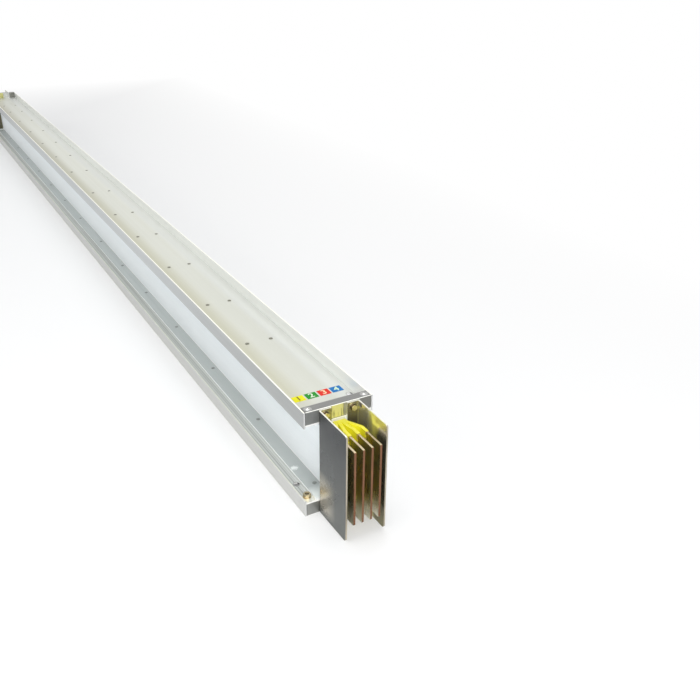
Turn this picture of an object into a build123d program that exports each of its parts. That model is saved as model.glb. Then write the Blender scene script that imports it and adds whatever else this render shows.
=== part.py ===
from build123d import *
import os

# One straight length of sandwich busbar trunking: four insulated copper bars pressed
# into a compact stack between two aluminium side panels and two channel covers.
# At each end the bars fan out to an even pitch between two bolted earth plates.
# Millimetres. +X runs along the length to the near end, +Z is up, and the origin
# is the middle of the base, under the middle of the length.

# Whole length, from bar end to bar end
overall_length = 4000.0

# Copper bars and their fan at each end
bar_count = 4
bar_height = 152.4
bar_thickness = 4.0
bar_reach = 104.0
bar_end_pitch = 17.0
bar_bend_radius = 14.0
bar_corner_radius = 2.0
fan_start = 9.0
fan_end = 38.0

# Yellow sleeve on each bar
sleeve_wall = 1.2
sleeve_reach = 56.0

# Insulating strips between the stack and the covers
strip_thickness = 4.5

# Side panels, one extrusion each, with flanges turned outwards
panel_web = 4.0
panel_flange = 3.0

# Channel covers, open to the outside, whose rims also reach a little past the web inwards
cover_width = 140.0
cover_rim = 33.0
tray_depth = 26.0
cover_web = 3.0
cover_wall = 3.0
rim_corner_radius = 0.8

# Holes for hanger brackets near each end of the covers
hanger_hole_diameter = 11.0
hanger_hole_edge = 13.0
hanger_hole_setback = 62.0

# End blocks that close the covers, deeper in the bottom cover
top_block_depth = 20.0
bottom_block_depth = 30.0
block_gap = 1.0
block_chamfer = 0.8

# Countersunk screws through the blocks and covers, with flange nuts on the bottom cover's ledges
top_screw_setback = 10.0
bottom_screw_setback = 18.0
block_screw_diameter = 8.0
block_screw_head = 15.0
nut_across_flats = 13.0
nut_flange_diameter = 16.0
nut_flange_height = 1.6
nut_height = 7.0
nut_recess = 2.0
nut_clearance = 2.0

# Shanks and their holes are out of sight, so they have few sides
shank_sides = 8

# L-shaped earth plates
plate_thickness = 3.0
plate_outer_half_width = 41.0
plate_reach = 100.0
plate_inset = 2.0
plate_corner_radius = 6.0
plate_bend_radius = 4.0
foot_width = 25.0
foot_bolt_from_bend = 13.0

# Hex flange bolts through the feet
foot_bolt_diameter = 6.0
foot_bolt_grip = 15.0
foot_bolt_across_flats = 10.0
foot_bolt_flange_diameter = 13.0
foot_bolt_flange_height = 1.3
foot_bolt_head = 5.0

# Worked out from the sizes above
housing_length = overall_length - 2 * bar_reach
housing_half = housing_length / 2
stack_pitch = bar_thickness + 2 * sleeve_wall
stack_half_width = bar_count * stack_pitch / 2
inner_height = bar_height + 2 * sleeve_wall + 2 * strip_thickness
inner_bottom = tray_depth + cover_web
inner_top = inner_bottom + inner_height
overall_height = inner_height + 2 * inner_bottom
middle_height = overall_height / 2
block_middle = tray_depth / 2
block_width = cover_width - 2 * cover_wall - 2 * block_gap
plate_height = overall_height - 2 * plate_inset
foot_bolt_y = plate_outer_half_width - foot_bolt_from_bend
rim_inside = cover_width / 2 - cover_wall
block_screw_y = rim_inside - nut_clearance - nut_flange_diameter / 2
panel_half_width = rim_inside - nut_flange_diameter - 2 * nut_clearance
top_screw_length = tray_depth + cover_web
bottom_screw_length = top_screw_length + nut_height - nut_recess
screw_hole_depth = top_screw_length + 2 * nut_height
hanger_hole_x = housing_half - hanger_hole_setback
hanger_hole_y = cover_width / 2 - hanger_hole_edge
ends = (("near", 1), ("far", -1))


def along_x(profile_points, length):
    """An extrusion along X, centred, from its outline in Y and Z."""
    outline = Polyline(*profile_points, close=True)
    face = make_face(Plane.YZ * outline)
    return extrude(face, amount=length / 2, both=True)


def turned_over(solid):
    """The same piece turned over to the other cover, across the middle height."""
    return mirror(solid, about=Plane.XY.offset(middle_height))


def at_end(solid, side):
    """A piece modelled for the near end, or its mirror image at the far end."""
    return solid if side > 0 else mirror(solid, about=Plane.YZ)


def fan_outline(stack_y, end_y, half_thickness, reach):
    """Plan outline of a bar that runs in the stack and fans out at both ends."""
    tip = housing_half + reach
    outer = housing_half + fan_end
    inner = housing_half + fan_start
    centre = [Vector(-tip, end_y), Vector(-outer, end_y), Vector(-inner, stack_y),
              Vector(inner, stack_y), Vector(outer, end_y), Vector(tip, end_y)]
    runs = [(b - a).normalized() for a, b in zip(centre, centre[1:])]
    normals = [Vector(-run.Y, run.X) for run in runs]
    sides = []
    for offset in (half_thickness, -half_thickness):
        points = [centre[0] + normals[0] * offset]
        radii = []
        for corner, before, after in zip(centre[1:], normals, normals[1:]):
            points.append(corner + (before + after) * (offset / (1 + before.dot(after))))
            turn = before.X * after.Y - before.Y * after.X
            radii.append(bar_bend_radius - offset if turn > 0 else bar_bend_radius + offset)
        points.append(centre[-1] + normals[-1] * offset)
        sides.append((points, radii))
    (upper, upper_radii), (lower, lower_radii) = sides
    edges = [FilletPolyline(*upper, radius=upper_radii), Line(upper[-1], lower[-1]),
             FilletPolyline(*lower, radius=lower_radii), Line(lower[0], upper[0])]
    return make_face(edges)


def bar_positions():
    """Each bar's place in the stack and in the fan."""
    for index in range(bar_count):
        step = index - (bar_count - 1) / 2
        yield index + 1, step * stack_pitch, step * bar_end_pitch


def make_conductor(stack_y, end_y):
    """Flat copper bar, standing on edge, bent outwards near both ends."""
    bottom = middle_height - bar_height / 2
    face = fan_outline(stack_y, end_y, bar_thickness / 2, bar_reach)
    bar = Pos(0, 0, bottom) * extrude(face, amount=bar_height)
    corners = [edge for edge in bar.edges().filter_by(Axis.Y)
               if abs(edge.center().X) > housing_half + bar_reach - 0.01]
    return fillet(corners, bar_corner_radius)


def make_sleeve(stack_y, end_y, conductor):
    """Insulating sleeve that hugs a bar from just before one tip to the other."""
    height = bar_height + 2 * sleeve_wall
    half = bar_thickness / 2 + sleeve_wall
    face = fan_outline(stack_y, end_y, half, sleeve_reach)
    skin = Pos(0, 0, middle_height - height / 2) * extrude(face, amount=height)
    return skin - conductor


def make_strip():
    """Insulating strip that lies on top of the stack, under the top cover."""
    strip = Box(housing_length, 2 * stack_half_width, strip_thickness)
    return Pos(0, 0, inner_top - strip_thickness / 2) * strip


def make_panel():
    """Left side panel: an upright web on the stack, with flanges turned outwards."""
    web_out = stack_half_width + panel_web
    profile = [(-stack_half_width, inner_bottom), (-panel_half_width, inner_bottom),
               (-panel_half_width, inner_bottom + panel_flange),
               (-web_out, inner_bottom + panel_flange),
               (-web_out, inner_top - panel_flange),
               (-panel_half_width, inner_top - panel_flange),
               (-panel_half_width, inner_top), (-stack_half_width, inner_top)]
    return along_x(profile, housing_length)


def make_cover(screw_setback):
    """Top cover: a channel whose rims stand up from its web and hang a little below it."""
    outside = cover_width / 2
    floor = inner_top + cover_web
    top = overall_height
    lip = top - cover_rim
    profile = [(-outside, lip), (-rim_inside, lip), (-rim_inside, inner_top), (rim_inside, inner_top),
               (rim_inside, lip), (outside, lip), (outside, top), (rim_inside, top), (rim_inside, floor),
               (-rim_inside, floor), (-rim_inside, top), (-outside, top)]
    cover = along_x(profile, housing_length)
    long_edges = [edge for edge in cover.edges().filter_by(Axis.X)
                  if edge.center().Z < lip + 0.01 or edge.center().Z > top - 0.01]
    cover = fillet(long_edges, rim_corner_radius)
    for side in (1, -1):
        for across in (1, -1):
            hanger_hole = Cylinder(hanger_hole_diameter / 2, 4 * cover_web)
            cover -= Pos(side * hanger_hole_x, across * hanger_hole_y, floor) * hanger_hole
            cover -= at_end(make_block_screw(across, screw_hole_depth, screw_setback), side)
    return cover


def make_block(depth, screw_setback):
    """Near top end block: a bar that closes the channel between its rims."""
    floor = inner_top + cover_web
    centre_x = housing_half - depth / 2
    block = Pos(centre_x, 0, floor + block_middle) * Box(depth, block_width, tray_depth)
    outer_edges = [edge for edge in block.edges().filter_by(Axis.Y)
                   if edge.center().Z > floor + block_middle]
    block = chamfer(outer_edges, block_chamfer)
    for across in (1, -1):
        block -= make_block_screw(across, screw_hole_depth, screw_setback)
        block -= place_foot_bolt(across, floor + block_middle)
    return block


def shank(diameter, length):
    """A screw's shank, hanging down from the origin."""
    return extrude(RegularPolygon(diameter / 2, shank_sides), amount=-length)


def make_block_screw(across, length, setback):
    """Countersunk screw, flush with the outer face of the near top end block."""
    head_depth = (block_screw_head - block_screw_diameter) / 2
    head = Cone(block_screw_diameter / 2, block_screw_head / 2, head_depth,
                align=(Align.CENTER, Align.CENTER, Align.MAX))
    screw = head + shank(block_screw_diameter, length)
    return Pos(housing_half - setback, across * block_screw_y, overall_height) * screw


def hexagon_with_flange(across_flats, height, flange_diameter, flange_height):
    """Hexagon on a round flange, standing on the origin."""
    flange = Cylinder(flange_diameter / 2, flange_height,
                      align=(Align.CENTER, Align.CENTER, Align.MIN))
    hexagon = extrude(RegularPolygon(across_flats / 2, 6, major_radius=False), amount=height)
    return flange + hexagon


def make_block_nut(across, setback):
    """Flange nut as it would sit under the top cover's web, on the end of a block screw."""
    nut = hexagon_with_flange(nut_across_flats, nut_height, nut_flange_diameter, nut_flange_height)
    nut = Pos(housing_half - setback, across * block_screw_y, inner_top) * Rot(180, 0, 0) * nut
    return nut - make_block_screw(across, screw_hole_depth, setback)


def place_foot_bolt(across, height):
    """Hex flange bolt through a near plate's foot into an end block."""
    head = hexagon_with_flange(foot_bolt_across_flats, foot_bolt_head,
                               foot_bolt_flange_diameter, foot_bolt_flange_height)
    bolt = head + shank(foot_bolt_diameter, plate_thickness + foot_bolt_grip)
    return Pos(housing_half + plate_thickness, across * foot_bolt_y, height) * Rot(0, 90, 0) * bolt


def make_plate():
    """Near left earth plate: tall sheet with a foot bent inwards on the end blocks."""
    outer = -plate_outer_half_width
    inside = outer + plate_thickness
    start = housing_half
    foot_tip = outer + foot_width
    outside_path = FilletPolyline((foot_tip, start), (outer, start), (outer, start + plate_reach),
                                  radius=plate_bend_radius)
    inside_path = FilletPolyline((foot_tip, start + plate_thickness), (inside, start + plate_thickness),
                                 (inside, start + plate_reach),
                                 radius=plate_bend_radius - plate_thickness)
    section = make_face([outside_path, Line((outer, start + plate_reach), (inside, start + plate_reach)),
                         inside_path, Line((foot_tip, start + plate_thickness), (foot_tip, start))])
    lying = Plane(origin=(0, 0, plate_inset), x_dir=(0, 1, 0), z_dir=(0, 0, -1))
    plate = extrude(lying * section, amount=-plate_height)
    corners = [edge for edge in plate.edges().filter_by(Axis.Y)
               if edge.center().X > start + plate_reach - 0.01]
    plate = fillet(corners, plate_corner_radius)
    for height in foot_bolt_heights():
        plate -= place_foot_bolt(-1, height)
    return plate


def foot_bolt_heights():
    """Heights of the bolts through the plates' feet: the middle of each block."""
    return (block_middle, overall_height - block_middle)


def write(node, shape):
    """One STEP file for each named piece."""
    shape.label = node
    export_step(shape, f"parts/{node}.step")


def main():
    os.makedirs("parts", exist_ok=True)

    for number, stack_y, end_y in bar_positions():
        conductor = make_conductor(stack_y, end_y)
        write(f"conductor_{number}", conductor)
        write(f"sleeve_{number}", make_sleeve(stack_y, end_y, conductor))

    strip = make_strip()
    write("strip_top", strip)
    write("strip_bottom", turned_over(strip))

    panel = make_panel()
    write("side_panel_left", panel)
    write("side_panel_right", mirror(panel, about=Plane.XZ))

    write("cover_top", make_cover(top_screw_setback))
    write("cover_bottom", turned_over(make_cover(bottom_screw_setback)))

    top_block = make_block(top_block_depth, top_screw_setback)
    bottom_block = turned_over(make_block(bottom_block_depth, bottom_screw_setback))
    plate = make_plate()
    for end, side in ends:
        write(f"end_block_{end}_top", at_end(top_block, side))
        write(f"end_block_{end}_bottom", at_end(bottom_block, side))
        write(f"earth_plate_{end}_left", at_end(plate, side))
        write(f"earth_plate_{end}_right", at_end(mirror(plate, about=Plane.XZ), side))
        screws = []
        nuts = []
        foot_bolts = []
        for across in (1, -1):
            top_screw = make_block_screw(across, top_screw_length, top_screw_setback)
            bottom_screw = turned_over(make_block_screw(across, bottom_screw_length, bottom_screw_setback))
            screws += [at_end(top_screw, side), at_end(bottom_screw, side)]
            nuts.append(at_end(turned_over(make_block_nut(across, bottom_screw_setback)), side))
            foot_bolts += [at_end(place_foot_bolt(across, height), side) for height in foot_bolt_heights()]
        write(f"block_screws_{end}", Compound(children=screws))
        write(f"block_nuts_{end}", Compound(children=nuts))
        write(f"foot_bolts_{end}", Compound(children=foot_bolts))


main()
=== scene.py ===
import math

import bmesh
import bpy
from mathutils import Matrix, Vector


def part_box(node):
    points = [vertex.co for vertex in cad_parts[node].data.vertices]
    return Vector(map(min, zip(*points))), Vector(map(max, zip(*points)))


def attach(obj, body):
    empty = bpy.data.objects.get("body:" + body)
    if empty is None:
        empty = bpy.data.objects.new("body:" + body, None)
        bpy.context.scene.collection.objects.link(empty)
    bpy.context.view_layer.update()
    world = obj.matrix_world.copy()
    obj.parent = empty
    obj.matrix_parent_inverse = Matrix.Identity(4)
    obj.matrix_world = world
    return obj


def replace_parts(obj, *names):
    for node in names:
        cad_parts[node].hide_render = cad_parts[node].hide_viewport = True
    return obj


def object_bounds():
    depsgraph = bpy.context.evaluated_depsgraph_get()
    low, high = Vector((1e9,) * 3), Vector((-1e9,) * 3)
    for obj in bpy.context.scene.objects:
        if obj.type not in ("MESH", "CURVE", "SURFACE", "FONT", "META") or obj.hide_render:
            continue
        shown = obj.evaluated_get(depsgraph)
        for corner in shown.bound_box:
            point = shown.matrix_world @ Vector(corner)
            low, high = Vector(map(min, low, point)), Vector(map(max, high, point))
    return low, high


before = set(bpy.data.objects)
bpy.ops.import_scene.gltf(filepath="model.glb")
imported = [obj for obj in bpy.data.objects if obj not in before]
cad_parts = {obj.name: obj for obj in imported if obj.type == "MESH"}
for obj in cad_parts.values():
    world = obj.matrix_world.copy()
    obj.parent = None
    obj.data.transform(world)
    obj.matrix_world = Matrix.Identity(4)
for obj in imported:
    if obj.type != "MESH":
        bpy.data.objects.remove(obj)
cad_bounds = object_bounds()


# Conductors: four flat copper bars on edge, rolled, bent near each end and left bare
# at the tips. Their broad faces have darkened to brown with a green cast, while the
# sheared ends stay a redder brown and the upper edges pale.
def start_finish(name, color, metallic, roughness):
    """A new material with its shader's plain values set."""
    material = bpy.data.materials.new(name)
    material.use_nodes = True
    shader = material.node_tree.nodes["Principled BSDF"]
    shader.inputs["Base Color"].default_value = (*color, 1)
    shader.inputs["Metallic"].default_value = metallic
    shader.inputs["Roughness"].default_value = roughness
    return material, shader


def add_step(material, kind, sockets, **settings):
    """One shader node, its settings and its sockets, each a value or a link."""
    node = material.node_tree.nodes.new(kind)
    for name, value in settings.items():
        setattr(node, name, value)
    for name, value in sockets.items():
        if isinstance(value, bpy.types.NodeSocket):
            material.node_tree.links.new(value, node.inputs[name])
        else:
            node.inputs[name].default_value = value
    return node


def feed(material, shader, socket, value):
    """Links a value into one of the shader's sockets."""
    material.node_tree.links.new(value, shader.inputs[socket])


def calculate(material, operation, *values):
    """One step of arithmetic on numbers or links."""
    return add_step(material, "ShaderNodeMath", dict(enumerate(values)), operation=operation).outputs[0]


def both(material, first, second):
    """The product of two factors: where the one and the other hold."""
    return calculate(material, "MULTIPLY", first, second)


def between(material, value, low, high, start=0.0, end=1.0):
    """A factor brought from one range to another, and kept inside it."""
    step = add_step(material, "ShaderNodeMapRange",
                    {"Value": value, "From Min": low, "From Max": high, "To Min": start, "To Max": end})
    return step.outputs["Result"]


def object_space(material):
    """The surface's place in the frame of the CAD."""
    return add_step(material, "ShaderNodeTexCoord", {}).outputs["Object"]


def signed(material, axis, low, high, share=1.0):
    """A factor that rises from low to high along an axis of the frame."""
    parts = add_step(material, "ShaderNodeSeparateXYZ", {"Vector": object_space(material)})
    return between(material, parts.outputs[axis], low, high, 0, share)


def measure(material, kind, axis):
    """One part of the surface's place ("Object") or direction ("Normal"), without its sign."""
    place = add_step(material, "ShaderNodeTexCoord", {})
    parts = add_step(material, "ShaderNodeSeparateXYZ", {"Vector": place.outputs[kind]})
    return calculate(material, "ABSOLUTE", parts.outputs[axis])


def outwards(material, axis, low, high, share=1.0):
    """A factor that rises from low to high on either side of the frame's middle."""
    return between(material, measure(material, "Object", axis), low, high, 0, share)


def facing(material, axis, low=0.6, high=0.9):
    """How far the surface faces along an axis, either way: 1 square on, 0 edge on."""
    return between(material, measure(material, "Normal", axis), low, high)


def streaks(material, stretch, detail=4):
    """A noise between 0 and 1 in object space, stretched by its scale on each axis."""
    scaled = add_step(material, "ShaderNodeMapping", {"Vector": object_space(material), "Scale": stretch})
    noise = add_step(material, "ShaderNodeTexNoise",
                     {"Vector": scaled.outputs["Vector"], "Scale": 1, "Detail": detail, "Roughness": 0.6})
    return noise.outputs["Fac"]


def patches(material, stretch, low, high, share=1.0, detail=4):
    """Where the streaks rise from low to high, up to a share of the whole."""
    return between(material, streaks(material, stretch, detail), low, high, 0, share)


def mix_colors(material, factor, first, second):
    """Two colours, each a value or a link, mixed by a factor."""
    step = material.node_tree.nodes.new("ShaderNodeMix")
    step.data_type = "RGBA"
    for index, value in ((0, factor), (6, first), (7, second)):
        if isinstance(value, bpy.types.NodeSocket):
            material.node_tree.links.new(value, step.inputs[index])
        else:
            step.inputs[index].default_value = value if index == 0 else (*value, 1)
    return step.outputs[2]


def mottle(material, stretch, first, second, low=0.3, high=0.7, detail=4):
    """Two colours that run into each other in streaks."""
    return mix_colors(material, patches(material, stretch, low, high, detail=detail), first, second)


def stain(material, color, stretch, low, high, share, shade, detail=6):
    """A colour with patches of another shade on it."""
    return mix_colors(material, patches(material, stretch, low, high, share, detail), color, shade)


def uneven_gloss(material, shader, stretch, smooth, rough):
    """Roughness that varies in streaks between two values."""
    gloss = between(material, streaks(material, stretch), 0.3, 0.7, smooth, rough)
    feed(material, shader, "Roughness", gloss)


def relief(material, shader, height, depth):
    """Fine relief on the surface, from a height between 0 and 1 and its depth in metres."""
    bump = add_step(material, "ShaderNodeBump", {"Height": height, "Distance": depth, "Strength": 1.0})
    feed(material, shader, "Normal", bump.outputs["Normal"])


def dress(node, material):
    """Gives a piece of the frame its material."""
    mesh = bpy.data.objects[node].data
    mesh.materials.clear()
    mesh.materials.append(material)


def make_copper():
    """Darkened rolled copper, paler low down as a painted reflection of the floor, with redder sheared ends
    and pale upper edges.
    """
    copper, shader = start_finish("darkened_copper", (0.40, 0.28, 0.16), 0.9, 0.35)
    face = mottle(copper, (30, 30, 9), (0.41, 0.27, 0.12), (0.35, 0.355, 0.18), 0.35, 0.65)
    face = stain(copper, face, (90, 90, 240), 0.55, 0.8, 0.6, (0.52, 0.34, 0.22))
    # Painted reflection: the broad faces turn paler low down, standing in for the pale floor they mirror.
    painted_light_low_down = outwards(copper, "Z", 0.085, 0.04, 0.95)
    face = mix_colors(copper, painted_light_low_down, face, (0.94, 0.93, 0.84))
    sheared_end = mottle(copper, (200, 400, 25), (0.170, 0.083, 0.044), (0.255, 0.122, 0.072), 0.35)
    upper_edge = mottle(copper, (40, 300, 300), (0.62, 0.55, 0.38), (0.48, 0.37, 0.24))
    color = mix_colors(copper, facing(copper, "X"), face, sheared_end)
    color = mix_colors(copper, facing(copper, "Z"), color, upper_edge)
    feed(copper, shader, "Base Color", color)
    uneven_gloss(copper, shader, (60, 60, 14), 0.2, 0.42)
    relief(copper, shader, streaks(copper, (12, 500, 500), 3), 0.00008)
    return copper


copper_finish = make_copper()
for number in range(1, 5):
    dress(f"conductor_{number}", copper_finish)


# Sleeves: thin glossy yellow insulation drawn over each bar. It hugs the bends and
# shows soft wrinkles across them, and it ends a little raggedly near the tips.
sleeve_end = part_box("sleeve_1")[1].x
ragged_edge_at = sleeve_end + 0.0112
ragged_depth = 0.024
ragged_blur = 0.0006


def make_sleeve_film():
    """Yellow film, painted duller on its top faces as shade against its lit sides, with a tan ragged edge at
    its cut end.
    """
    film, shader = start_finish("yellow_sleeve", (0.86, 0.76, 0.0), 0.0, 0.28)
    shader.inputs["Coat Weight"].default_value = 0.4
    shader.inputs["Coat Roughness"].default_value = 0.12
    color = mottle(film, (60, 60, 14), (1.0, 0.95, 0.045), (0.98, 0.92, 0.035))
    ragged_place = calculate(film, "MULTIPLY_ADD", streaks(film, (30, 90, 160), 6), ragged_depth,
                             measure(film, "Object", "X"))
    ragged_edge = between(film, ragged_place, ragged_edge_at, ragged_edge_at + ragged_blur, 0, 0.85)
    color = mix_colors(film, ragged_edge, color, (0.42, 0.30, 0.10))
    # Painted shade: the top faces get a duller yellow than the sides.
    color = mix_colors(film, facing(film, "Z"), color, (0.80, 0.75, 0.03))
    feed(film, shader, "Base Color", color)
    relief(film, shader, streaks(film, (120, 150, 22), 5), 0.0016)
    return film


sleeve_film = make_sleeve_film()
for number in range(1, 5):
    dress(f"sleeve_{number}", sleeve_film)


# Strips: off-white insulating board that lies between the stack of bars and each
# cover, cut from sheet and held by the clamping of the covers.
board, board_shader = start_finish("insulating_board", (0.80, 0.79, 0.76), 0.0, 0.6)
board_color = mottle(board, (300, 300, 300), (0.69, 0.68, 0.65), (0.61, 0.60, 0.57))
feed(board, board_shader, "Base Color", board_color)
relief(board, board_shader, streaks(board, (900, 900, 900), 3), 0.0001)
for side in ("top", "bottom"):
    dress(f"strip_{side}", board)


# Side panels: one aluminium extrusion each, anodised to a pale blue grey. Fine ribs run along the web,
# the flanges at top and bottom carry the rivets, and the left one has a ragged light mark near its end.
housing_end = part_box("cover_top")[1].x
darkening = (0.9, 1.85)
rib_pitch = 0.006
light_mark_middle = (1.7871, -0.03915, 0.032)
light_mark_radius = (0.007, 0.009, 0.020)
light_mark_raggedness = 2.2


def panel_web_color(panel):
    """Pale anodising with a few dull patches, painted light that makes it lighter low down, and a painted
    highlight at the web's foot.
    """
    color = mottle(panel, (0.8, 45, 45), (0.82, 0.87, 0.89), (0.88, 0.93, 0.95))
    color = stain(panel, color, (3, 9, 9), 0.6, 0.85, 0.35, (0.66, 0.69, 0.70))
    # Painted light: the web grows lighter low down.
    painted_light_low_down = outwards(panel, "Z", 0.11, 0.04, 0.8)
    color = mix_colors(panel, painted_light_low_down, color, (0.93, 0.96, 0.97))
    # Painted highlight: a white line along the foot of the web.
    painted_web_foot_highlight = both(panel, facing(panel, "Y"), outwards(panel, "Z", 0.0368, 0.0362))
    return mix_colors(panel, painted_web_foot_highlight, color, (1.0, 1.0, 1.0))


def flange_color(panel):
    """Grey painted shade, darker than the web, that darkens towards the ends, with a light last stretch."""
    # Painted shade: the flanges get a darker grey than the pale web of the same extrusion, for the shade
    # beside the covers.
    color = mottle(panel, (1.5, 90, 90), (0.53, 0.57, 0.56), (0.60, 0.64, 0.63))
    color = mix_colors(panel, outwards(panel, "X", *darkening), color, (0.47, 0.505, 0.495))
    last_stretch = outwards(panel, "X", housing_end - 0.040, housing_end - 0.016)
    return mix_colors(panel, last_stretch, color, (0.86, 0.90, 0.88))


def scuff_mark(panel):
    """A ragged light mark on the left panel's lower flange, near the end."""
    scale = [1 / radius for radius in light_mark_radius]
    shift = [-middle / radius for middle, radius in zip(light_mark_middle, light_mark_radius)]
    from_middle = add_step(panel, "ShaderNodeMapping",
                           {"Vector": object_space(panel), "Scale": scale, "Location": shift})
    distance = add_step(panel, "ShaderNodeVectorMath", {0: from_middle.outputs["Vector"]}, operation="LENGTH")
    ragged = calculate(panel, "MULTIPLY_ADD", streaks(panel, (420, 260, 420), 6), light_mark_raggedness,
                       distance.outputs["Value"])
    return between(panel, ragged, 2.25, 1.55, 0, 0.8)


def make_panel_finish():
    """Anodised aluminium with fine ribs along the web."""
    panel, shader = start_finish("anodised_panel", (0.76, 0.81, 0.83), 0.0, 0.42)
    color = mix_colors(panel, facing(panel, "Z"), panel_web_color(panel), flange_color(panel))
    # Painted highlight: a bright line along the flange's edge.
    painted_flange_edge_highlight = outwards(panel, "Y", 0.0464, 0.0466)
    color = mix_colors(panel, painted_flange_edge_highlight, color, (0.95, 0.97, 0.97))
    # A ragged light mark on the left panel's lower flange.
    color = mix_colors(panel, scuff_mark(panel), color, (0.95, 0.98, 0.96))
    feed(panel, shader, "Base Color", color)
    uneven_gloss(panel, shader, (1.5, 160, 160), 0.36, 0.5)
    rib_scale = 2 * math.pi / (20 * rib_pitch)
    ribs = add_step(panel, "ShaderNodeTexWave",
                    {"Vector": object_space(panel), "Scale": rib_scale, "Distortion": 0.0},
                    wave_type="BANDS", bands_direction="Z", wave_profile="SIN")
    relief(panel, shader, both(panel, ribs.outputs["Fac"], facing(panel, "Y")), 0.00035)
    return panel


panel_finish = make_panel_finish()
for side in ("left", "right"):
    dress(f"side_panel_{side}", panel_finish)


# Covers: aluminium channels with their rims outwards, anodised to a satin cream. The
# die lines of the extrusion run along the tray, with a few handling marks across it.
overall_height = cad_bounds[1].z
rim_start = (0.0668, 0.0672)
hanger_hole_x = housing_end - 0.062
hanger_hole_y = 0.057


def from_middle_height(material):
    """The distance up or down from the middle of the height."""
    above = calculate(material, "ADD", measure(material, "Object", "Z"), -overall_height / 2)
    return calculate(material, "ABSOLUTE", above)


def tray_color(cover):
    """Cream with dull patches, darker towards the ends, with a painted olive shadow of the left rim on the
    left, and grey on the right.
    """
    color = mottle(cover, (0.5, 28, 28), (0.63, 0.64, 0.57), (0.70, 0.71, 0.645))
    color = stain(cover, color, (2.2, 12, 12), 0.62, 0.85, 0.4, (0.57, 0.55, 0.48))
    towards_ends = outwards(cover, "X", 0.9, 1.75, 0.5)
    color = mix_colors(cover, towards_ends, color, (0.52, 0.53, 0.475))
    # Painted shadow: an olive band along the left of the tray, where the left rim's shadow falls.
    painted_rim_shadow = both(cover, signed(cover, "Y", -0.008, -0.042),
                     signed(cover, "X", housing_end - 0.016, housing_end - 0.096))
    far_half = signed(cover, "X", 0.8, -0.6)
    rim_shadow_color = mix_colors(cover, far_half, (0.54, 0.535, 0.42), (0.46, 0.45, 0.36))
    color = mix_colors(cover, painted_rim_shadow, color, rim_shadow_color)
    right_band = signed(cover, "Y", 0.026, 0.040, 0.5)
    return mix_colors(cover, right_band, color, (0.66, 0.68, 0.67))


def ledge_color(cover):
    """Die lines on the inner face of the bottom cover, in a darker grey that is partly painted shade under
    the top cover's overhang, with a light last stretch.
    """
    # Partly painted shade: the ledge's grey is darker than the tray's cream; the streaks are die lines.
    color = mottle(cover, (0.8, 500, 500), (0.44, 0.45, 0.42), (0.70, 0.71, 0.68), 0.35, 0.65, detail=2)
    last_stretch = outwards(cover, "X", housing_end - 0.028, housing_end - 0.016)
    return mix_colors(cover, last_stretch, color, (0.92, 0.91, 0.82))


def rim_color(cover, is_bottom):
    """Grey outer faces that darken towards the ends, and inner faces painted light to lift the shade in the
    corner beside the tray.
    """
    color = mottle(cover, (0.7, 60, 60), (0.50, 0.52, 0.52), (0.57, 0.59, 0.59))
    color = mix_colors(cover, outwards(cover, "X", *darkening), color, (0.385, 0.395, 0.39))
    color = mix_colors(cover, is_bottom, color, (0.60, 0.60, 0.58))
    # Painted light: the inner faces get a lighter colour that cancels the shade in the corner.
    painted_light_inner_color = mottle(cover, (0.7, 60, 60), (0.86, 0.87, 0.845), (0.94, 0.95, 0.925))
    inner_face = outwards(cover, "Y", 0.0690, 0.0680)
    return mix_colors(cover, inner_face, color, painted_light_inner_color)


def cut_end_color(cover):
    """Bright saw cut, its pale colour partly painted light that lifts the shade under the end blocks, duller
    on the rims, with a dark seam over the stack of bars.
    """
    color = mottle(cover, (400, 60, 400), (0.84, 0.84, 0.81), (0.96, 0.96, 0.93))
    color = mix_colors(cover, outwards(cover, "Y", *rim_start), color, (0.58, 0.59, 0.58))
    seam_height = between(cover, from_middle_height(cover), 0.0839, 0.0841)
    seam = both(cover, seam_height, outwards(cover, "Y", 0.0155, 0.0145))
    return mix_colors(cover, seam, color, (0.10, 0.10, 0.06))


def hole_surround(cover):
    """The narrow strip around each hanger hole, at half share."""
    along = calculate(cover, "ADD", measure(cover, "Object", "X"), -hanger_hole_x)
    across = calculate(cover, "ADD", measure(cover, "Object", "Y"), -hanger_hole_y)
    offset = add_step(cover, "ShaderNodeCombineXYZ", {"X": along, "Y": across})
    distance = add_step(cover, "ShaderNodeVectorMath", {0: offset.outputs[0]}, operation="LENGTH")
    return between(cover, distance.outputs["Value"], 0.0076, 0.0070, 0, 0.5)


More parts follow.
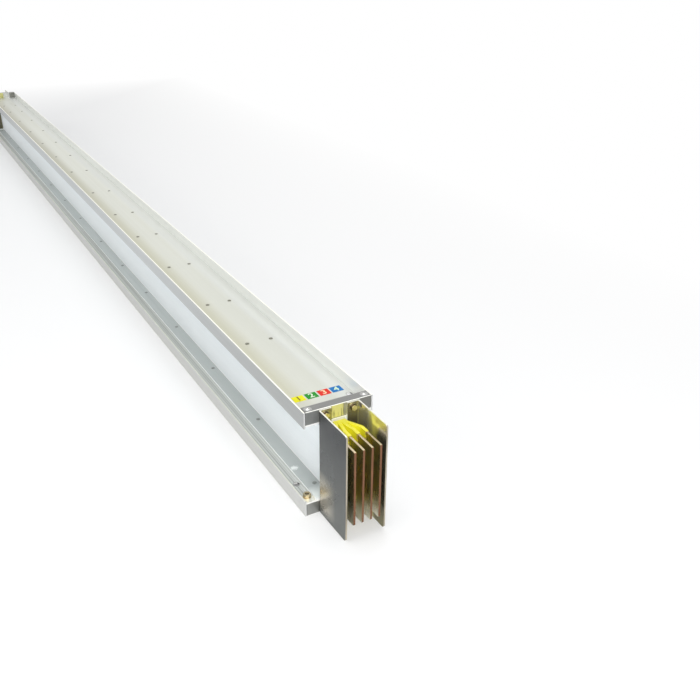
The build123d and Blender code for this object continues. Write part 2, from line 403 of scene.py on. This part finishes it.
def make_cover_finish():
    """Anodised aluminium, with a colour of its own for tray, ledge, rims, edges, holes and saw cuts, several
    of them painted light and shade.
    """
    cover, shader = start_finish("anodised_cover", (0.72, 0.73, 0.66), 0.55, 0.42)
    is_bottom = outwards(cover, "Z", 0.08, 0.07)
    is_ledge = both(cover, is_bottom, outwards(cover, "Z", 0.0275, 0.0285))
    color = mix_colors(cover, is_ledge, tray_color(cover), ledge_color(cover))
    color = mix_colors(cover, facing(cover, "Y"), color, rim_color(cover, is_bottom))
    # Painted highlight: the rims' top edges get a near white on the top cover and a lighter grey on the
    # bottom one.
    painted_rim_edge = both(cover, facing(cover, "Z", 0.3, 0.5), outwards(cover, "Y", *rim_start))
    painted_rim_highlight_color = mix_colors(cover, is_bottom, (0.97, 0.96, 0.88), (0.80, 0.80, 0.72))
    color = mix_colors(cover, painted_rim_edge, color, painted_rim_highlight_color)
    # Painted shade: the walls of the hanger holes are dark.
    painted_hole_shade = both(cover, outwards(cover, "Y", 0.0667, 0.0664), facing(cover, "Z", 0.5, 0.3))
    color = mix_colors(cover, painted_hole_shade, color, (0.30, 0.30, 0.28))
    color = mix_colors(cover, hole_surround(cover), color, (0.30, 0.30, 0.30))
    # Partly painted light: the saw cut's pale colour and its lack of metallic lift the shade under the blocks
    # and plates.
    saw_cut = facing(cover, "X")
    color = mix_colors(cover, saw_cut, color, cut_end_color(cover))
    feed(cover, shader, "Base Color", color)
    feed(cover, shader, "Metallic", between(cover, saw_cut, 0, 1, 0.55, 0.0))
    uneven_gloss(cover, shader, (1.2, 120, 120), 0.33, 0.48)
    relief(cover, shader, streaks(cover, (1.0, 420, 420), 3), 0.00012)
    return cover


cover_finish = make_cover_finish()
for side in ("top", "bottom"):
    dress(f"cover_{side}", cover_finish)


# Rivets: steel blind rivets that pin each cover to the flanges of the side panels,
# two rows along the tray. The set head is a low dome with the pulled stem's hole.
rivet_head_radius = 0.0043
rivet_head_height = 0.0007
rivet_dome_inset = 0.0016
rivet_dome_rise = 0.0003
rivet_stem_inset = 0.0010
rivet_stem_lip = 0.0003
rivet_stem_depth = 0.0007
rivet_row_y = 0.027
flange_thickness = 0.003
top_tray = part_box("end_block_near_top")[0].z
bottom_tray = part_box("end_block_near_bottom")[1].z
top_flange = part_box("side_panel_left")[1].z - flange_thickness
bottom_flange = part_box("side_panel_left")[0].z + flange_thickness
tray_distances = (0.350, 0.584, 0.864, 1.144, 1.385, 1.665, 1.981, 2.250, 2.520, 2.790, 3.060, 3.320,
                  3.510)
flange_distances = (0.046, 0.310, 0.579, 0.848, 1.120, 1.374, 1.640, 1.940, 2.205, 2.470, 2.735, 3.000,
                    3.264, 3.500, 3.746)


def deselect():
    """Nothing selected, so that the next operator acts on its own piece alone."""
    bpy.ops.object.select_all(action="DESELECT")


def name_piece(name):
    """Names the active object and its mesh."""
    piece = bpy.context.object
    piece.name = name
    piece.data.name = name
    return piece


def apply_placing():
    """Puts the place, turn and size of what is selected into its mesh."""
    bpy.ops.object.transform_apply(location=True, rotation=True, scale=True)


def pick(piece, kind, test):
    """In edit mode, selects the faces or vertices that pass a test."""
    bpy.ops.mesh.select_mode(type={"faces": "FACE", "verts": "VERT"}[kind])
    bpy.ops.mesh.select_all(action="DESELECT")
    mesh = bmesh.from_edit_mesh(piece.data)
    for part in getattr(mesh, kind):
        if test(part):
            part.select_set(True)
    bmesh.update_edit_mesh(piece.data)


def place_copies(piece, places):
    """Moves a piece to the first place and joins a copy of it for each other one."""
    copies = []
    for matrix in places[1:]:
        copy = piece.copy()
        copy.data = piece.data.copy()
        bpy.context.collection.objects.link(copy)
        copy.matrix_world = matrix
        copies.append(copy)
    piece.matrix_world = places[0]
    deselect()
    for part in copies + [piece]:
        part.select_set(True)
    bpy.context.view_layer.objects.active = piece
    apply_placing()
    bpy.ops.object.join()


def turned_to(way):
    """Upright for an outer face above, and turned over for one below."""
    return Matrix.Identity(4) if way > 0 else Matrix.Rotation(math.pi, 4, "X")


def make_rivet_finish(name, dark, light):
    """Worn steel, mottled between two colours."""
    steel, shader = start_finish(name, dark, 0.8, 0.4)
    feed(steel, shader, "Base Color", mottle(steel, (700, 700, 700), dark, light))
    return steel


def make_rivet_rows(name, distances, level, way, finish):
    """Both rows of rivets on one face of a cover or of its panels' flanges."""
    deselect()
    bpy.ops.mesh.primitive_cylinder_add(vertices=14, radius=rivet_head_radius, depth=rivet_head_height,
                                        location=(0, 0, rivet_head_height / 2))
    apply_placing()
    rivet = name_piece(name)
    bpy.ops.object.mode_set(mode="EDIT")
    pick(rivet, "faces", lambda face: face.normal.z > 0.9)
    bpy.ops.mesh.inset(thickness=rivet_dome_inset)
    bpy.ops.transform.translate(value=(0, 0, rivet_dome_rise))
    bpy.ops.mesh.inset(thickness=rivet_stem_inset)
    bpy.ops.mesh.inset(thickness=rivet_stem_lip)
    bpy.ops.transform.translate(value=(0, 0, -rivet_stem_depth))
    bpy.ops.object.mode_set(mode="OBJECT")
    bpy.ops.object.shade_smooth_by_angle(angle=math.radians(40))
    rivet.data.materials.append(finish)
    places = [(housing_end - distance, across * rivet_row_y, level)
              for distance in distances for across in (1, -1)]
    place_copies(rivet, [Matrix.Translation(place) @ turned_to(way) for place in places])
    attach(rivet, "root")


tray_steel = make_rivet_finish("tray_rivet_steel", (0.14, 0.14, 0.11), (0.26, 0.26, 0.21))
# Painted glint: the flange rivets get a lighter copy of the same rivet steel than those on the tray.
painted_glint_flange_steel = make_rivet_finish("flange_rivet_glint_steel", (0.20, 0.21, 0.20), (0.42, 0.44, 0.42))
make_rivet_rows("rivets_top_tray", tray_distances, top_tray, 1, tray_steel)
make_rivet_rows("rivets_bottom_tray", tray_distances, bottom_tray, -1, tray_steel)
make_rivet_rows("rivets_top_flanges", flange_distances, top_flange, -1, painted_glint_flange_steel)
make_rivet_rows("rivets_bottom_flanges", flange_distances, bottom_flange, 1, painted_glint_flange_steel)


# End blocks: aluminium bars that close the covers between their rims at both ends,
# cut off a brushed flat, with a small chamfer that catches the light.
def block_front_color(block, between_feet):
    """Brushed grey, with painted shade at the right beside the right plate, a painted reflection of the
    yellow sleeves between the feet, and darker on the bottom blocks.
    """
    color = mottle(block, (300, 60, 20), (0.47, 0.48, 0.46), (0.60, 0.61, 0.59))
    # Painted shade: the part of the front beside the right plate is dark.
    painted_shade_right_end = signed(block, "Y", 0.040, 0.044)
    color = mix_colors(block, painted_shade_right_end, color, (0.19, 0.19, 0.17))
    # Painted reflection: yellow streaks between the feet stand in for the sleeves mirrored in the front.
    yellow = mottle(block, (300, 220, 30), (0.26, 0.25, 0.10), (0.72, 0.69, 0.27), 0.38, 0.52, detail=3)
    color = mix_colors(block, between_feet, color, yellow)
    is_bottom = outwards(block, "Z", 0.05, 0.04)
    return mix_colors(block, is_bottom, color, (0.34, 0.345, 0.33))


def make_block_finish():
    """Brushed aluminium, with a painted highlight along the rim where its chamfer meets the front."""
    block, shader = start_finish("brushed_block", (0.30, 0.30, 0.29), 0.9, 0.34)
    between_feet = both(block, signed(block, "Y", -0.0185, -0.0175), signed(block, "Y", 0.012, 0.009))
    color = mottle(block, (300, 6, 300), (0.195, 0.197, 0.19), (0.26, 0.262, 0.25))
    color = mix_colors(block, facing(block, "X"), color, block_front_color(block, between_feet))
    color = stain(block, color, (60, 40, 60), 0.6, 0.8, 0.3, (0.20, 0.20, 0.20))
    # Painted highlight: a bright line where the chamfer meets the front.
    painted_chamfer_highlight = both(block, outwards(block, "X", housing_end - 0.0013, housing_end - 0.0010),
                    facing(block, "Z", 0.3, 0.5))
    color = mix_colors(block, painted_chamfer_highlight, color, (0.93, 0.93, 0.87))
    feed(block, shader, "Base Color", color)
    # The painted highlight and the painted reflection between the feet are made less metallic.
    painted_light_parts = calculate(block, "MAXIMUM", painted_chamfer_highlight, both(block, between_feet, facing(block, "X")))
    feed(block, shader, "Metallic", between(block, painted_light_parts, 0, 1, 0.9, 0.3))
    relief(block, shader, streaks(block, (600, 10, 600), 3), 0.00015)
    return block


block_finish = make_block_finish()
for end in ("near", "far"):
    for side in ("top", "bottom"):
        dress(f"end_block_{end}_{side}", block_finish)


# Block screws: bright zinc plated M8 screws with a hexagon socket, countersunk flush into
# the outer face of each end block. Those of the bottom cover end in a nut on its ledge.
screw_head_radius = 0.0075
screw_head_depth = 0.0035
screw_shank_radius = 0.004
screw_y = 0.057
top_screw_setback = 0.010
bottom_screw_setback = 0.018
top_screw_length = 0.029
bottom_screw_length = 0.034
screw_rows = (("top", 1, overall_height, top_screw_setback, top_screw_length),
              ("bottom", -1, 0, bottom_screw_setback, bottom_screw_length))
socket_inset = 0.0035
socket_depth = 0.0026


def make_screw_finish():
    """Bright zinc, with a painted glint low in the socket and on the cones, and painted shade on the shank
    ends.
    """
    steel, shader = start_finish("bright_zinc", (0.40, 0.40, 0.39), 0.9, 0.35)
    from_middle = from_middle_height(steel)
    outer_face = overall_height / 2
    below_face = between(steel, from_middle, outer_face - 0.0010, outer_face - 0.0014)
    above_shank = between(steel, from_middle, outer_face - 0.0032, outer_face - 0.0029)
    color = mottle(steel, (500, 500, 500), (0.30, 0.30, 0.29), (0.46, 0.46, 0.45))
    # Painted shade: the shank below the head is dark, as seen at its end in the nut.
    color = mix_colors(steel, above_shank, (0.08, 0.07, 0.05), color)
    # Painted glint: a bright band low in the socket and on the cone.
    color = mix_colors(steel, both(steel, below_face, above_shank), color, (0.86, 0.86, 0.85))
    feed(steel, shader, "Base Color", color)
    return steel


def make_screws(name, places, screw_length):
    """Countersunk screws with a hexagon socket, one at each place."""
    deselect()
    bpy.ops.mesh.primitive_cylinder_add(vertices=24, radius=screw_shank_radius, depth=screw_length,
                                        location=(0, 0, -screw_length / 2))
    apply_placing()
    screw = name_piece(name)
    bpy.ops.object.mode_set(mode="EDIT")
    bpy.ops.mesh.select_all(action="SELECT")
    bpy.ops.mesh.bisect(plane_co=(0, 0, -screw_head_depth), plane_no=(0, 0, 1))
    pick(screw, "verts", lambda vert: vert.co.z > -0.0001)
    grow = screw_head_radius / screw_shank_radius
    bpy.ops.transform.resize(value=(grow, grow, 1), center_override=(0, 0, 0))
    pick(screw, "faces", lambda face: face.normal.z > 0.9 and face.calc_center_median().z > -0.0001)
    bpy.ops.mesh.inset(thickness=socket_inset)
    bpy.ops.mesh.extrude_region_move(TRANSFORM_OT_translate={"value": (0, 0, -socket_depth)})
    bpy.ops.object.mode_set(mode="OBJECT")
    bpy.ops.object.shade_smooth_by_angle(angle=math.radians(35))
    screw.data.materials.append(screw_steel)
    place_copies(screw, places)
    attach(screw, "root")
    return screw


screw_steel = make_screw_finish()
for end, end_way in (("near", 1), ("far", -1)):
    for side, face_way, level, setback, length in screw_rows:
        places = [Matrix.Translation((end_way * (housing_end - setback), across * screw_y, level))
                  @ turned_to(face_way) for across in (1, -1)]
        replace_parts(make_screws(f"{side}_screws_{end}", places, length), f"block_screws_{end}")


# Block nuts and foot bolts: hexagons forged with a flange and yellow passivated, which
# leaves a gold skin with a faint play of green and pink.
def make_zinc():
    """Yellow passivated zinc, with painted shade on the sides of a bolt's hexagon and a painted highlight on
    its top.
    """
    zinc, shader = start_finish("yellow_zinc", (0.62, 0.48, 0.22), 1.0, 0.3)
    color = mottle(zinc, (260, 260, 260), (0.60, 0.47, 0.27), (0.52, 0.48, 0.35), 0.35, 0.65)
    color = stain(zinc, color, (420, 420, 420), 0.55, 0.8, 0.7, (0.36, 0.22, 0.15), detail=4)
    # Painted shade: the bolt's hexagon above its flange is dark.
    painted_hex_side_shade = outwards(zinc, "X", housing_end + 0.0020, housing_end + 0.0025, 0.9)
    color = mix_colors(zinc, painted_hex_side_shade, color, (0.10, 0.075, 0.04))
    # Painted highlight: the top of the bolt is pale.
    painted_bolt_top_highlight = outwards(zinc, "X", housing_end + 0.0073, housing_end + 0.0076)
    color = mix_colors(zinc, painted_bolt_top_highlight, color, (0.84, 0.76, 0.48))
    feed(zinc, shader, "Base Color", color)
    relief(zinc, shader, streaks(zinc, (1500, 1500, 1500), 2), 0.00006)
    return zinc


zinc_finish = make_zinc()
for end in ("near", "far"):
    dress(f"block_nuts_{end}", zinc_finish)
    dress(f"foot_bolts_{end}", zinc_finish)


# Earth plates: tall steel sheets, plated dark and smooth enough to mirror what is
# near. A foot bent inwards is bolted to both end blocks, and the cut edges are bright.
def outer_plate_color(plate):
    """Dark plating with faint drawn lines, lighter low down as a painted reflection of the floor, and most
    beside the cover's ledge as a painted beige reflection of the ledge and nut.
    """
    color = mottle(plate, (14, 14, 5), (0.046, 0.049, 0.051), (0.074, 0.077, 0.079))
    color = stain(plate, color, (260, 260, 8), 0.55, 0.8, 0.5, (0.13, 0.132, 0.13), detail=5)
    # Painted reflection: lighter low down, for the pale floor mirrored in the plate.
    painted_light_low_down = outwards(plate, "Z", 0.20, 0.03, 0.75)
    color = mix_colors(plate, painted_light_low_down, color, (0.21, 0.22, 0.21))
    # Painted reflection: a beige patch beside the cover's ledge stands in for the ledge and nut mirrored in
    # the plate.
    near_housing = outwards(plate, "X", housing_end + 0.062, housing_end + 0.022)
    painted_ledge_reflection = both(plate, near_housing, outwards(plate, "Z", 0.100, 0.060))
    painted_ledge_reflection = both(plate, painted_ledge_reflection, outwards(plate, "Z", 0.005, 0.025))
    return mix_colors(plate, painted_ledge_reflection, color, (0.58, 0.54, 0.46))


def inner_plate_color(plate):
    """Painted reflection on the inner face: cream, with painted shade in the lower half, olive at the bottom
    edge and painted shade beside the bars' tips.
    """
    # Painted reflection: the inner face is cream, far lighter than the outer face of the same plating.
    color = mottle(plate, (40, 40, 5), (0.88, 0.86, 0.76), (0.78, 0.76, 0.66))
    # Painted shade: darker in the lower half.
    painted_shade_lower_half = outwards(plate, "Z", 0.10, 0.045, 0.85)
    color = mix_colors(plate, painted_shade_lower_half, color, (0.24, 0.225, 0.15))
    bottom_edge = outwards(plate, "Z", 0.045, 0.022)
    color = mix_colors(plate, bottom_edge, color, (0.72, 0.66, 0.40))
    # Painted shade: dark beside the bars' tips.
    painted_shade_beside_bars = both(plate, outwards(plate, "X", housing_end + 0.059, housing_end + 0.070),
                       outwards(plate, "Z", 0.198, 0.186, 0.7))
    return mix_colors(plate, painted_shade_beside_bars, color, (0.09, 0.086, 0.066))


def make_plate_finish():
    """Dark plated sheet, its two faces, its foot and its cut edges each in their own colour, with painted
    reflection, shade and highlight among them.
    """
    plate, shader = start_finish("dark_plate", (0.17, 0.175, 0.18), 0.85, 0.22)
    shader.inputs["Specular Tint"].default_value = (0.84, 0.84, 0.84, 1)
    inner_side = outwards(plate, "Y", 0.0397, 0.0393)
    color = mix_colors(plate, inner_side, outer_plate_color(plate), inner_plate_color(plate))
    near_block = outwards(plate, "X", housing_end + 0.009, housing_end + 0.008)
    foot_face = both(plate, facing(plate, "X"), near_block)
    # Painted shade: the foot's front face is dark, lightening towards its top.
    foot_top = outwards(plate, "Z", 0.170, 0.205)
    painted_foot_shade = mix_colors(plate, foot_top, (0.16, 0.15, 0.10), (0.42, 0.40, 0.32))
    color = mix_colors(plate, foot_face, color, painted_foot_shade)
    # Partly painted highlight: the top and bottom cut edges get a bright cream over their bare steel.
    cut_edge_highlight_color = mottle(plate, (80, 80, 80), (0.88, 0.86, 0.76), (0.72, 0.70, 0.61))
    color = mix_colors(plate, facing(plate, "Z"), color, cut_edge_highlight_color)
    at_tip = outwards(plate, "X", housing_end + 0.090, housing_end + 0.091)
    tip_color = mottle(plate, (80, 80, 30), (0.46, 0.41, 0.32), (0.28, 0.25, 0.19))
    color = mix_colors(plate, both(plate, at_tip, facing(plate, "X")), color, tip_color)
    feed(plate, shader, "Base Color", color)
    tip_edge = both(plate, at_tip, facing(plate, "Y", 0.5, 0.2))
    cut_edge = calculate(plate, "MAXIMUM", tip_edge, facing(plate, "Z", 0.3, 0.5))
    feed(plate, shader, "Metallic", between(plate, cut_edge, 0, 1, 0.85, 0.3))
    outer_gloss = between(plate, streaks(plate, (9, 9, 9)), 0.3, 0.7, 0.24, 0.38)
    feed(plate, shader, "Roughness", calculate(plate, "MULTIPLY_ADD", inner_side, -0.14, outer_gloss))
    relief(plate, shader, streaks(plate, (7, 7, 3), 2), 0.0009)
    return plate


plate_finish = make_plate_finish()
for end in ("near", "far"):
    for side in ("left", "right"):
        dress(f"earth_plate_{end}_{side}", plate_finish)


# Phase labels: a row of four printed vinyl squares stuck to the tray of the top cover
# behind the near end block, each in its phase's colour with a plain number.
label_depth = 0.0200
label_width = 0.0230
label_thickness = 0.00025
label_x = housing_end - 0.0800 - label_depth / 2
label_top = top_tray + label_thickness
digit_size = 0.021
digit_boldness = 0.0003
ink_thickness = 0.00004
label_looks = (("yellow", (0.84, 0.80, 0.01), (0.20, 0.13, 0.01), -0.0352),
               ("green", (0.01, 0.27, 0.015), (0.78, 0.86, 0.70), -0.0087),
               ("red", (0.72, 0.025, 0.01), (0.90, 0.72, 0.45), 0.0178),
               ("blue", (0.01, 0.17, 0.47), (0.66, 0.85, 0.62), 0.0440))


def printed_vinyl(name, color):
    """Satin printed film with a faint mottle."""
    vinyl, shader = start_finish(name, color, 0.0, 0.5)
    shader.inputs["Specular IOR Level"].default_value = 0.2
    darker = tuple(part * 0.88 for part in color)
    feed(vinyl, shader, "Base Color", mottle(vinyl, (180, 180, 180), color, darker))
    return vinyl


def finish_label_piece(piece, finish):
    """The last steps of a label or its number."""
    apply_placing()
    piece.data.materials.append(finish)
    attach(piece, "root")


for number, (hue, film_color, ink_color, label_y) in enumerate(label_looks, start=1):
    deselect()
    bpy.ops.mesh.primitive_cube_add(size=1, location=(label_x, label_y, top_tray + label_thickness / 2))
    label = name_piece(f"phase_label_{hue}")
    label.scale = (label_depth, label_width, label_thickness)
    finish_label_piece(label, printed_vinyl(f"vinyl_{hue}", film_color))

    deselect()
    bpy.ops.object.text_add(location=(0, 0, 0))
    digit = bpy.context.object
    digit.data.body = str(number)
    digit.data.size = digit_size
    digit.data.align_x = "CENTER"
    digit.data.align_y = "CENTER"
    digit.data.offset = digit_boldness
    digit.data.extrude = ink_thickness
    bpy.ops.object.convert(target="MESH")
    digit = name_piece(f"phase_number_{number}")
    digit.matrix_world = (Matrix.Translation((label_x, label_y, label_top + ink_thickness))
                          @ Matrix.Rotation(math.pi / 2, 4, "Z"))
    finish_label_piece(digit, printed_vinyl(f"ink_{number}", ink_color))


# Floor: a plain pale floor under a white surround, which keeps the soft shadow of the
# length that lies on it and turns white further away.
floor_size = 60
floor_clearance = 0.0003
shadow_zone = (0.25, 1.6)
bar_tip = cad_bounds[1].x

deselect()
bpy.ops.mesh.primitive_plane_add(size=floor_size, location=(0, 0, -floor_clearance))
floor = name_piece("pale_floor")
floor_finish, floor_shader = start_finish("pale_floor", (0.93, 0.93, 0.93), 0.0, 0.9)
floor_shader.inputs["Specular IOR Level"].default_value = 0.0
white = add_step(floor_finish, "ShaderNodeEmission", {"Color": (1, 1, 1, 1), "Strength": 1.0})
seen_floor = add_step(floor_finish, "ShaderNodeLightPath", {}).outputs["Is Camera Ray"]
past_ends = calculate(floor_finish, "ADD", measure(floor_finish, "Object", "X"), -bar_tip)
away = calculate(floor_finish, "MAXIMUM", past_ends, measure(floor_finish, "Object", "Y"))
white_share = both(floor_finish, seen_floor, between(floor_finish, away, *shadow_zone, 0.25, 1.0))
floor_look = add_step(floor_finish, "ShaderNodeMixShader",
                      {0: white_share, 1: floor_shader.outputs["BSDF"], 2: white.outputs["Emission"]})
feed(floor_finish, floor_finish.node_tree.nodes["Material Output"], "Surface", floor_look.outputs["Shader"])
floor.data.materials.append(floor_finish)

surround = bpy.data.worlds.new("white_surround")
bpy.context.scene.world = surround
surround.use_nodes = True
surround.node_tree.nodes.clear()
ray = add_step(surround, "ShaderNodeLightPath", {})
lighting = add_step(surround, "ShaderNodeBackground", {"Color": (0.97, 0.985, 1.0, 1), "Strength": 0.5})
backdrop = add_step(surround, "ShaderNodeBackground", {"Color": (1, 1, 1, 1), "Strength": 1.0})
seen = calculate(surround, "MAXIMUM", ray.outputs["Is Camera Ray"], ray.outputs["Is Glossy Ray"])
seen = calculate(surround, "MAXIMUM", seen, ray.outputs["Is Transmission Ray"])
surround_look = add_step(surround, "ShaderNodeMixShader",
                         {0: seen, 1: lighting.outputs["Background"], 2: backdrop.outputs["Background"]})
add_step(surround, "ShaderNodeOutputWorld", {"Surface": surround_look.outputs["Shader"]})


# Lamps: three broad soft studio panels, one overhead, one on the left and one in front
# of the near end, which lights the fan of bars between the plates.
def add_panel_light(name, place, target, size, power):
    """A large soft lamp aimed at a point."""
    deselect()
    bpy.ops.object.light_add(type="AREA", location=place)
    lamp = bpy.context.object
    lamp.name = name
    lamp.data.shape = "RECTANGLE"
    lamp.data.size, lamp.data.size_y = size
    lamp.data.energy = power
    lamp.rotation_euler = (Vector(target) - Vector(place)).to_track_quat("-Z", "Y").to_euler()


add_panel_light("overhead_panel", (0.4, 0.5, 4.2), (0.2, 0, 0), (6.0, 3.0), 82)
add_panel_light("left_panel", (0.4, -4.6, 2.4), (0.0, 0, 0.1), (5.0, 2.4), 60)
add_panel_light("front_panel", (4.0, -0.45, 1.5), (1.93, 0, 0.15), (1.4, 1.0), 42)


# Camera: standing in front of the near end, to its left, looking down along the length.
camera_place = (2.9802, -0.6002, 0.9455)
camera_yaw = math.radians(29.831)
camera_pitch = math.radians(26.479)
camera_roll = math.radians(0.608)
camera_lens = 41.64
sensor_width = 36

bpy.ops.object.camera_add(location=camera_place)
camera = bpy.context.object
camera.data.lens = camera_lens
camera.data.sensor_width = sensor_width
camera.data.clip_end = 100
look = Vector((-math.cos(camera_yaw) * math.cos(camera_pitch), math.sin(camera_yaw) * math.cos(camera_pitch),
               -math.sin(camera_pitch)))
level_right = look.cross(Vector((0, 0, 1))).normalized()
level_up = level_right.cross(look)
camera_right = math.cos(camera_roll) * level_right + math.sin(camera_roll) * level_up
camera_up = math.cos(camera_roll) * level_up - math.sin(camera_roll) * level_right
camera_axes = Matrix((camera_right, camera_up, -look)).transposed().to_4x4()
camera.matrix_world = Matrix.Translation(camera_place) @ camera_axes
bpy.context.scene.camera = camera
bpy.context.scene.view_settings.view_transform = "Standard"
